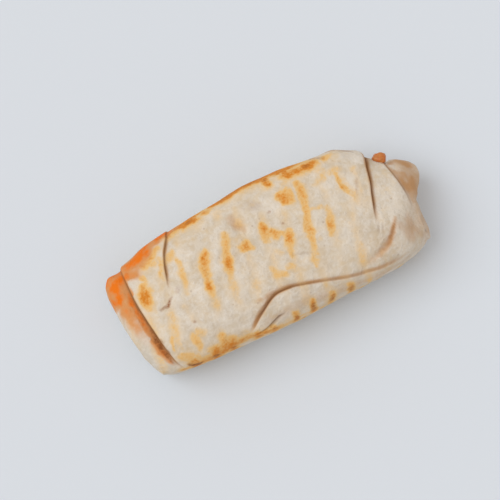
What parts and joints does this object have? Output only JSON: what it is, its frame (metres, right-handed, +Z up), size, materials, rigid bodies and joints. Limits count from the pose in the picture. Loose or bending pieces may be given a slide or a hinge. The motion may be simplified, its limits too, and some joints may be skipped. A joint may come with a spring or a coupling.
{
  "type": "burrito",
  "caption": "Whole toasted flour-tortilla burrito lying seam side up, with tucked ends, a free edge folded over one side and pleats across the top.",
  "frame": {"origin": "on the surface that the burrito lies on, under the middle of its box", "axes": "+X along the roll, +Y away from the side with the seam, +Z up"},
  "size_m": [0.1788, 0.0764, 0.045],
  "materials": {
    "toasted_tortilla": "pale floury tortilla, matt, with amber toast marks from a ridged press, darker folds and an orange sauce stain at one end",
    "sauced_filling": "orange-brown sauce-coated morsel, slightly moist"
  },
  "bodies": {
    "root": {"tortilla": "toasted_tortilla", "filling_crumb": "sauced_filling"}
  },
  "joints": []
}
